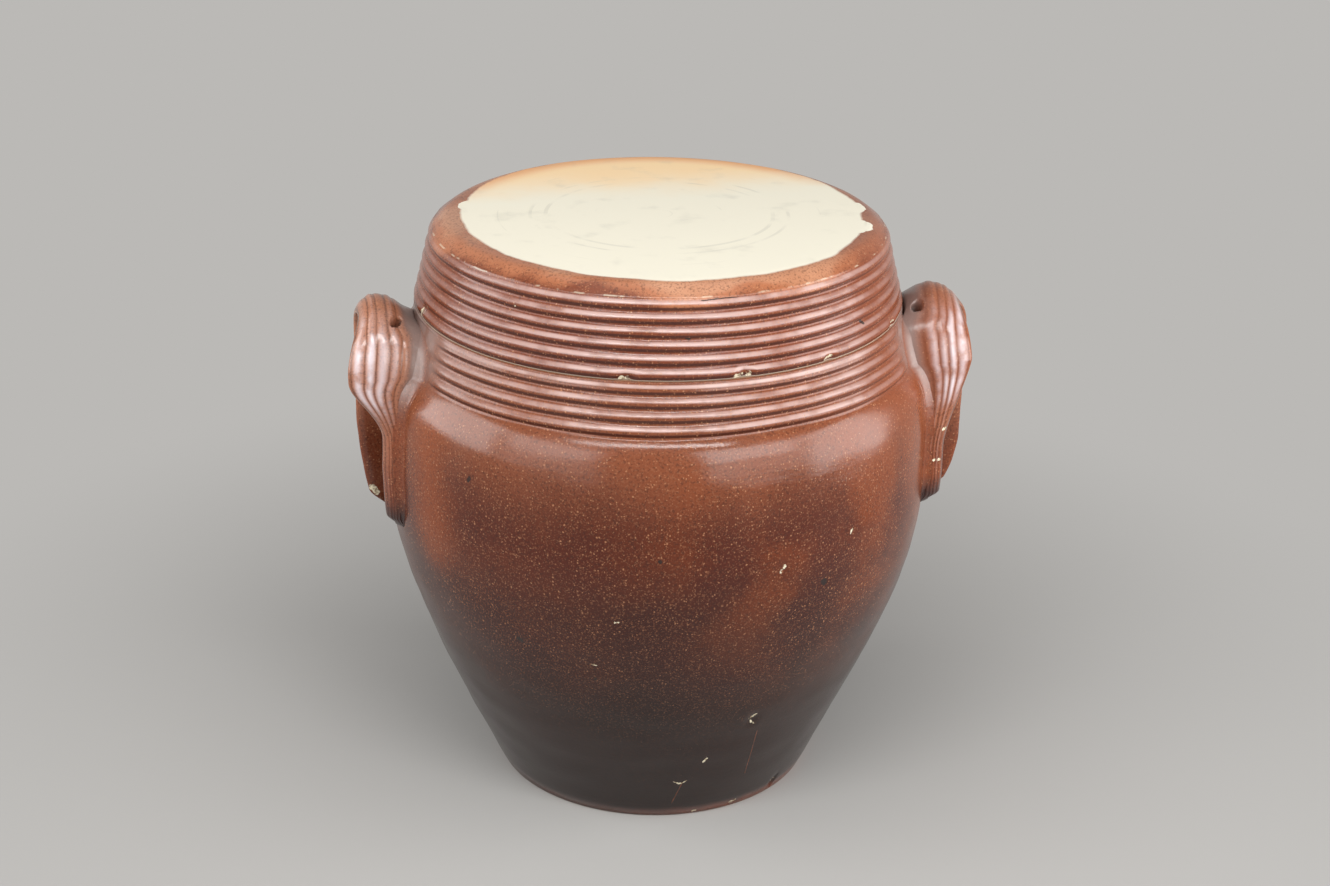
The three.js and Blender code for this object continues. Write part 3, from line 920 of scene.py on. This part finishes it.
def glaze_colour(tree, place, bands):
    """The glaze's colour: bands, warm patches and grain, then dark valleys, pink crests and specks.
    The valleys' dark is partly painted shade and the crests' pink partly painted highlight.
    """
    x, _, height = add(tree, "SeparateXYZ", place).node.outputs
    colour = banded(tree, strayed(tree, height, place, 55.0, 30.0), bands)
    rightward = add(tree, "MapRange", x, -60 * MM, 110 * MM, 0.15, 0.5, **EASED)
    warmth = add(tree, "Math", patches(tree, place, WARMTH_SIZE, 0.38, 0.68), rightward, **TIMES)
    upward = add(tree, "MapRange", height, *WARMTH_HEIGHTS, **EASED)
    upper = add(tree, "Math", warmth, upward, **TIMES)
    for start, end, size in WARM_SPOTS:
        off = strayed(tree, away_from(tree, place, on_jar(*start), on_jar(*end)), place, 20.0, 16.0)
        spot = add(tree, "MapRange", off, size * MM, 0.0, 0.0, WARM_SPOT_SHARE, **EASED)
        upper = add(tree, "Math", upper, spot, **LARGER)
    colour = add(tree, "Mix", upper, colour, linear(WARM_PATCH), **COLOURS)
    grain = patches(tree, place, GRAIN_SIZE, 0.5, 0.66, 0.0, 0.45, detail=3.0)
    colour = add(tree, "Mix", grain, colour, linear(GRAIN_BROWN), **COLOURS)
    lit = patches(tree, place, GRAIN_SIZE * 0.8, 0.52, 0.7, 0.0, 0.3, detail=2.0)
    lighter = add(tree, "MapRange", height, *GRAIN_HEIGHTS, 0.2, 1.0, **EASED)
    lit = add(tree, "Math", lit, lighter, **TIMES)
    colour = add(tree, "Mix", lit, colour, linear(GRAIN_TAN), **COLOURS)
    # Dark valleys: partly pooled glaze, partly painted shade on each ridge's lower flank
    crest = add(tree, "Attribute", out="Fac", attribute_name="crest")
    valley = add(tree, "MapRange", crest, *VALLEY_AND_SHADE, 0.0, 0.85, **EASED)
    colour = add(tree, "Mix", valley, colour, linear(VALLEY_BROWN_AND_SHADE), **COLOURS)
    to_right = add(tree, "MapRange", x, 30 * MM, 95 * MM, 0.0, 0.5, **EASED)
    above_belly = add(tree, "MapRange", height, 165 * MM, 205 * MM, **EASED)
    right = add(tree, "Math", to_right, above_belly, **TIMES)
    colour = add(tree, "Mix", right, colour, linear(WARM_RIGHT), **COLOURS)
    # Pink crests: partly salt bloom, partly painted highlight on each ridge's upper flank
    patchy = patches(tree, place, PALENESS_SIZE, 0.3, 0.6, 0.35, 1.0)
    top = add(tree, "MapRange", crest, *CREST_AND_HIGHLIGHT, 0.0, 0.95, **EASED)
    pale = add(tree, "Math", top, patchy, **TIMES)
    # Paler crests in the middle than at the sides, front and back alike: a painted highlight of light from
    # the front
    sideways = add(tree, "Math", x, operation="ABSOLUTE")
    middle = add(tree, "MapRange", sideways, 52 * MM, 92 * MM, 1.0, 0.25, **EASED)
    pale = add(tree, "Math", pale, middle, **TIMES)
    colour = add(tree, "Mix", pale, colour, linear(CREST_PINK_AND_HIGHLIGHT), **COLOURS)
    return specked(tree, place, height, colour)


def skin_relief(tree, place, bare, speck):
    """Orange-peel skin of the salt, about 1.6 mm across, with the thrower's fine finger lines."""
    drawn_out = add(tree, "Mapping", place, named={"Scale": FINGER_LINES})
    lines = add(tree, "TexNoise", drawn_out, 1.0)
    peel = add(tree, "Math", add(tree, "TexNoise", place, fineness(PEEL_SIZE), 3.0), 0.6, **TIMES)
    relief = add(tree, "Math", peel, add(tree, "Math", lines, 0.5, **TIMES), **PLUS)
    relief = add(tree, "Math", relief, add(tree, "Math", speck, 0.15, **TIMES), **PLUS)
    return add(tree, "Math", relief, add(tree, "Math", bare, 0.5, **TIMES), **MINUS)


def salt_glaze(name, bands, chips=(), pits=(), finish=None):
    """Salt-glazed stoneware with chips and pits, and what the finish function adds to it."""
    material, tree = new_material(name)
    place = add(tree, "TexCoord", out="Object")
    colour, speck = glaze_colour(tree, place, bands)
    bare = add(tree, "Attribute", out="Fac", attribute_name="bare")
    bare_colour = linear(BARE_CLAY)
    if finish:
        colour, bare, bare_colour = finish(tree, place, colour, bare)
    colour = add(tree, "Mix", bare, colour, bare_colour, **COLOURS)
    if chips:
        chip = marked(tree, place, chips, 1.4, 2.0)
        shade = patches(tree, place, 1.2, 0.45, 0.62, detail=2.0)
        broken = add(tree, "Mix", shade, linear(BARE_CLAY), linear(CHIP_SHADE), **COLOURS)
        colour = add(tree, "Mix", chip, colour, broken, **COLOURS)
        bare = add(tree, "Math", bare, chip, **LARGER)
    if pits:
        pitted = add(tree, "Math", marked(tree, place, pits, 1.6, 1.6), 0.85, **TIMES)
        colour = add(tree, "Mix", pitted, colour, linear(PIT_BLACK), **COLOURS)
    gloss = patches(tree, place, GLOSS_SIZE, 0.3, 0.7, *GLAZE_ROUGHNESS)
    roughness = add(tree, "Math", gloss, add(tree, "Math", bare, CLAY_ROUGHNESS, **TIMES), **PLUS)
    relief = skin_relief(tree, place, bare, speck)
    skin = {"Strength": SKIN_STRENGTH, "Distance": SKIN_DEPTH * MM, "Height": relief}
    bump = add(tree, "Bump", named=skin)
    looks = {"Base Color": colour, "Roughness": roughness, "IOR": GLAZE_IOR, "Normal": bump}
    add(tree, "OutputMaterial", add(tree, "BsdfPrincipled", named=looks))
    return material


def reddened_foot(tree, place, colour, bare):
    """A reddish line round the foot, stronger towards the right, thin scratches, and grey beside the ears."""
    x, _, height = add(tree, "SeparateXYZ", place).node.outputs
    low = add(tree, "MapRange", strayed(tree, height, place, 12.0, 6.0), 6.5 * MM, 1.0 * MM, **EASED)
    low = add(tree, "Math", low, add(tree, "MapRange", x, -40 * MM, 40 * MM, 0.35, 0.9, **EASED), **TIMES)
    colour = add(tree, "Mix", low, colour, linear(FOOT_RED_LINE), **COLOURS)
    scratch = marked(tree, place, strokes_on(POT_OUTLINE, POT_SWAY, SCRATCHES), 3.0, 0.5)
    scratch = add(tree, "Math", scratch, add(tree, "TexNoise", place, fineness(5.0), 4.0), **TIMES)
    colour = add(tree, "Mix", scratch, colour, linear(SCRATCH_RUST), **COLOURS)
    root = add(tree, "Attribute", out="Fac", attribute_name="root")
    grey = add(tree, "Math", root, patches(tree, place, 8.0, 0.3, 0.65, 0.3, 0.75), **TIMES)
    return add(tree, "Mix", grey, colour, linear(ROOT_GREY), **COLOURS), bare, linear(BARE_CLAY)


def pulled_ear(tree, place, colour, bare):
    """Grey smeared clay over the strap's root, its pale salt bloom that is partly a painted highlight, and
    painted shade at the tips where the front tails end.
    """
    root = add(tree, "Attribute", out="Fac", attribute_name="root")
    height = add(tree, "SeparateXYZ", place, out="Z")
    high = add(tree, "MapRange", height, 178 * MM, 205 * MM, 0.0, 0.75, **EASED)
    colour = add(tree, "Mix", add(tree, "Math", root, high, **TIMES), colour, linear(ROOT_GREY), **COLOURS)
    # Pale salt bloom, partly a painted highlight on the strap's outer face
    bloom_and_highlight = add(tree, "Attribute", out="Fac", attribute_name="bloom_and_highlight")
    bloom_and_highlight = add(tree, "Math", bloom_and_highlight, patches(tree, place, 9.0, 0.32, 0.58, 0.25, 1.0), **TIMES)
    colour = add(tree, "Mix", bloom_and_highlight, colour, linear(SALT_BLOOM_AND_HIGHLIGHT), **COLOURS)
    # Painted shade at the pointed ends of the front tails
    tip = add(tree, "Attribute", out="Fac", attribute_name="tip")
    colour = add(tree, "Mix", add(tree, "Math", tip, 0.85, **TIMES), colour, linear(TIP_SHADE), **COLOURS)
    return colour, bare, linear(BARE_CLAY)


# Bare stoneware, unglazed because the lid was fired with its top masked: dry, cream, flushed yellow
# and peach by the kiln towards the back, with faint throwing rings and grey smudges.
TOP_CREAM = "#efe9d6"
TOP_YELLOW = "#f8d8ab"
TOP_PEACH = "#e09c6a"
TOP_SMUDGE = "#aeaa9c"
RING_SPACING = 3.6


def bare_top(tree, place, colour, bare):
    """The bare clay of the lid's top and inside, and the crack under its arris."""
    x, y, height = add(tree, "SeparateXYZ", place).node.outputs
    level = add(tree, "VectorMath", place, (1.0, 1.0, 0.0), **TIMES)
    radius = add(tree, "VectorMath", level, operation="LENGTH")
    centre = Vector((BARE_RIGHT, BARE_BACK, 0)) * MM
    from_centre = add(tree, "VectorMath", place, centre, **MINUS)
    squeezed = add(tree, "VectorMath", from_centre, (BARE_SQUEEZE, BARE_STRETCH, 0.0), **TIMES)
    edge = strayed(tree, add(tree, "VectorMath", squeezed, operation="LENGTH"), place, 26.0, 6.0)
    rim = add(tree, "MapRange", edge, (LID_TOP_RADIUS + 1.2) * MM, (LID_TOP_RADIUS - 0.4) * MM, **EASED)
    runs = [(on_jar(a, LID_TOP, r), size) for a, r, size in BARE_RUNS]
    runs = marked(tree, place, [(point, point, size) for point, size in runs], 3.5, 3.0)
    on_top = add(tree, "MapRange", height, LID_ARRIS * MM, (LID_ARRIS + LID_BEVEL_HEIGHT * 0.3) * MM, **EASED)
    share = add(tree, "Math", add(tree, "Math", rim, runs, **LARGER), on_top, **TIMES)
    flush = add(tree, "MapRange", strayed(tree, y, place, 22.0, 26.0), 0.022, 0.07, **EASED)
    clay = add(tree, "Mix", flush, linear(TOP_CREAM), linear(TOP_YELLOW), **COLOURS)
    outward = add(tree, "MapRange", radius, 78 * MM, 90 * MM, 0.0, 0.75, **EASED)
    rosy = add(tree, "Math", outward, flush, **TIMES)
    clay = add(tree, "Mix", rosy, clay, linear(TOP_PEACH), **COLOURS)
    spread = add(tree, "Math", radius, fineness(RING_SPACING), **TIMES)
    rings = add(tree, "TexNoise", spread, 1.0, 2.0, noise_dimensions="1D")
    patchy = patches(tree, place, 26.0, 0.5, 0.66, 0.0, 0.24)
    faint = add(tree, "Math", add(tree, "MapRange", rings, 0.6, 0.72, **EASED), patchy, **TIMES)
    clay = add(tree, "Mix", faint, clay, linear(TOP_SMUDGE), **COLOURS)
    smudge = patches(tree, place, 15.0, 0.55, 0.85, 0.0, 0.34)
    clay = add(tree, "Mix", smudge, clay, linear(TOP_SMUDGE), **COLOURS)
    begun = add(tree, "MapRange", x, CRACK_START * MM, (CRACK_START + 1) * MM, **EASED)
    ended = add(tree, "MapRange", x, CRACK_END * MM, (CRACK_END - 3) * MM, **EASED)
    off_crack = strayed(tree, add(tree, "Math", height, CRACK_HEIGHT * MM, **MINUS), place, 5.0, 1.6)
    off_crack = add(tree, "Math", off_crack, operation="ABSOLUTE")
    crack = add(tree, "MapRange", off_crack, CRACK_WIDTH * MM, 0.0, **EASED)
    crack = add(tree, "Math", add(tree, "Math", crack, begun, **TIMES), ended, **TIMES)
    crack = add(tree, "Math", crack, add(tree, "MapRange", y, 0.0, -0.05, **EASED), **TIMES)
    colour = add(tree, "Mix", crack, colour, linear(PIT_BLACK), **COLOURS)
    off_arris = strayed(tree, add(tree, "Math", height, LID_ARRIS * MM, **MINUS), place, 6.0, 0.8)
    off_arris = add(tree, "Math", off_arris, operation="ABSOLUTE")
    worn = add(tree, "MapRange", off_arris, 0.4 * MM, 0.1 * MM, **EASED)
    worn = add(tree, "Math", worn, patches(tree, place, 5.0, 0.53, 0.63, 0.0, 0.4), **TIMES)
    colour = add(tree, "Mix", worn, colour, linear(BARE_CLAY), **COLOURS)
    return colour, add(tree, "Math", share, bare, **LARGER), clay


def pot():
    bm = turned(pot_profile())
    collar = (SEAM_RADIUS - LEDGE_WIDTH + RIM_ROUND) * MM
    ledge = (SEAM_HEIGHT - 0.1) * MM

    def bare(co):
        on_ledge = co.z > ledge and math.hypot(co.x, co.y) < collar + (LEDGE_WIDTH - 2.5) * MM
        return 1.0 if co.z < 0.2 * MM or on_ledge else 0.0

    def crest(co):
        kept = smoothstep(from_ears(co), RIDGES_GONE, RIDGES_FULL)
        return mix(PLAIN, ridge_crest(co.z / MM, SHOULDER_HEIGHT, SEAM_HEIGHT, NECK_RIDGES), kept)

    def root(co):
        near = 1 - smoothstep(from_ears(co), RIDGES_GONE, NECK_GREY_END)
        return near * smoothstep(co.z / MM, SHOULDER_HEIGHT - 6, SHOULDER_HEIGHT + 8)

    wiped_by_ears(bm)
    mark(bm, "bare", bare)
    mark(bm, "crest", crest)
    mark(bm, "root", root)
    thrown(bm, POT_SWAY)
    chips = strokes_on(POT_OUTLINE, POT_SWAY, POT_CHIPS)
    pits = strokes_on(POT_OUTLINE, POT_SWAY, POT_PITS)
    chipped(bm, chips, CHIP_DEPTH)
    chipped(bm, pits, PIT_DEPTH)
    material = salt_glaze("salt_glaze_pot", POT_BANDS_WITH_SHADE, chips, pits, reddened_foot)
    finished("pot", bm, "jar", material, "jar_body")


def lid():
    bm = turned(lid_profile())

    def bare(co):
        radius, height = math.hypot(co.x, co.y) / MM, co.z / MM
        inside = height < LID_CEILING + 0.5 and radius < radius_at(LID_OUTLINE, height) - 2.5
        return 1.0 if inside or height < LID_RIM + 0.1 else 0.0

    mark(bm, "bare", bare)
    mark(bm, "crest", lambda co: ridge_crest(co.z / MM, LID_RIM, LID_ARRIS, LID_RIDGES))
    thrown(bm, LID_SWAY)
    chips = strokes_on(LID_OUTLINE, LID_SWAY, LID_CHIPS)
    pits = strokes_on(LID_OUTLINE, LID_SWAY, LID_PITS)
    chipped(bm, chips, CHIP_DEPTH)
    material = salt_glaze("salt_glaze_lid", LID_BANDS, chips, pits, bare_top)
    finished("lid_cap", bm, "lid", material, "lid")


# The ears' glaze is the pot's, pulled thin over the strap. The luting is soft clay, smeared by finger under
# the same glaze, greyer where it is thin.
def ears():
    chips = [(on_jar(*start), on_jar(*end), size) for start, end, size in EAR_CHIPS]
    glaze = salt_glaze("salt_glaze_ears", EAR_BANDS, chips, finish=pulled_ear)
    clay = salt_glaze("smeared_luting_clay", SMEAR_BANDS, finish=pulled_ear)
    for side, ear in (("left", LEFT_EAR), ("right", RIGHT_EAR)):
        finished(side + "_ear", ear_strap(ear), "jar", glaze, side + "_handle")
        finished(side + "_luting", luting(ear), "jar", clay)


# Plain stage: a floor of pale matt paper, which shows no gloss, that fades into an even pale backdrop,
# and soft panels round the jar
FLOOR_GREY = "#aba9a6"
BACKDROP = "#bbb9b6"
FLOOR_SIZE = 8.0
PAPER_ROUGHNESS = 0.9
FLOOR_FADE_START = 0.13
FLOOR_FADE_END = 0.48
AMBIENT = 0.12

# Azimuth from the camera's side in degrees, distance from the axis, height, width, rise and brightness
PANELS = {
    "left_wall": (-87.0, 0.85, 0.46, 0.62, 0.66, 4.0),
    "right_wall": (80.0, 0.75, 0.34, 0.52, 0.62, 4.4),
    "left_front": (-42.0, 0.85, 0.53, 0.62, 0.36, 3.6),
    "right_front": (38.0, 0.85, 0.53, 0.60, 0.38, 4.8),
    "left_low": (-42.0, 0.86, 0.22, 0.66, 0.28, 1.2),
    "right_low": (42.0, 0.86, 0.21, 0.72, 0.28, 2.0),
    "front_bar": (-2.0, 0.62, 0.93, 0.90, 0.11, 15.0),
}
ROOF_HEIGHT = 1.1
ROOF_SIZE = 0.8
ROOF_BRIGHTNESS = 0.75


def seen_rays(tree):
    """1 for the rays that see the backdrop itself: the camera's, reflected and transmitted ones."""
    rays = add(tree, "LightPath").node.outputs
    reflected = add(tree, "Math", rays["Is Glossy Ray"], rays["Is Transmission Ray"], **LARGER)
    return add(tree, "Math", rays["Is Camera Ray"], reflected, **LARGER)


def floor():
    """The floor, whose far part glows evenly so that it meets the backdrop without a line."""
    bm = bmesh.new()
    bmesh.ops.create_grid(bm, x_segments=1, y_segments=1, size=FLOOR_SIZE)
    mesh = mesh_of("floor", bm)
    material, tree = new_material("pale_paper")
    looks = {"Base Color": linear(FLOOR_GREY), "Roughness": PAPER_ROUGHNESS}
    paper = add(tree, "BsdfPrincipled", named=looks)
    glow = add(tree, "Emission", linear(BACKDROP), 1.0)
    place = add(tree, "TexCoord", out="Object")
    far = add(tree, "VectorMath", place, operation="LENGTH")
    glowing = add(tree, "MapRange", far, FLOOR_FADE_START, FLOOR_FADE_END, **EASED)
    fade = add(tree, "Math", glowing, seen_rays(tree), **TIMES)
    add(tree, "OutputMaterial", add(tree, "MixShader", fade, paper, glow))
    mesh.materials.append(material)
    placed("floor", mesh)


def softbox(name, place, aim, width, rise, brightness):
    """A soft rectangular panel that faces a point, as bright as a white surface times brightness."""
    lamp = bpy.data.lights.new(name, "AREA")
    lamp.shape = "RECTANGLE"
    lamp.size = width
    lamp.size_y = rise
    lamp.energy = brightness * math.pi * width * rise
    holder = placed(name, lamp)
    holder.visible_camera = False
    facing = (Vector(aim) - Vector(place)).to_track_quat("-Z", "Y")
    holder.matrix_world = Matrix.Translation(place) @ facing.to_matrix().to_4x4()


def light():
    for name, (azimuth, distance, height, width, rise, brightness) in PANELS.items():
        turn = math.radians(azimuth - 90 - CAMERA_TURN)
        place = Vector((distance * math.cos(turn), distance * math.sin(turn), height))
        aim_height = height if rise > width else BELLY_HEIGHT * MM
        softbox(name, place, (0, 0, aim_height), width, rise, brightness)
    softbox("roof", (0, 0, ROOF_HEIGHT), (0, 0, 0), ROOF_SIZE, ROOF_SIZE, ROOF_BRIGHTNESS)
    world = bpy.data.worlds.new("studio")
    bpy.context.scene.world = world
    world.use_nodes = True
    tree = world.node_tree
    tree.nodes.clear()
    strength = add(tree, "MapRange", seen_rays(tree), 0.0, 1.0, AMBIENT, 1.0, **EASED)
    add(tree, "OutputWorld", add(tree, "Background", linear(BACKDROP), strength))


def camera():
    """The photo's camera, turned round the jar so that its left ear is nearer."""
    pitch = math.radians(CAMERA_PITCH)
    roll = math.radians(CAMERA_ROLL)
    up = Vector((0, math.sin(pitch), math.cos(pitch)))
    right = Vector((1, 0, 0))
    back = right.cross(up)
    rolled_right = right * math.cos(roll) + up * math.sin(roll)
    rolled_up = up * math.cos(roll) - right * math.sin(roll)
    pose = Matrix((rolled_right, rolled_up, back)).transposed().to_4x4()
    pose.translation = (CAMERA_SIDE, -CAMERA_DISTANCE, CAMERA_HEIGHT)
    lens = bpy.data.cameras.new("camera")
    lens.sensor_width = SENSOR_WIDTH
    lens.lens = FOCAL_PIXELS * SENSOR_WIDTH / PHOTO_WIDTH
    holder = placed("camera", lens)
    holder.matrix_world = Matrix.Rotation(math.radians(-CAMERA_TURN), 4, "Z") @ pose
    bpy.context.scene.camera = holder


camera()
pot()
lid()
ears()
floor()
light()
bpy.context.scene.view_settings.view_transform = "Standard"
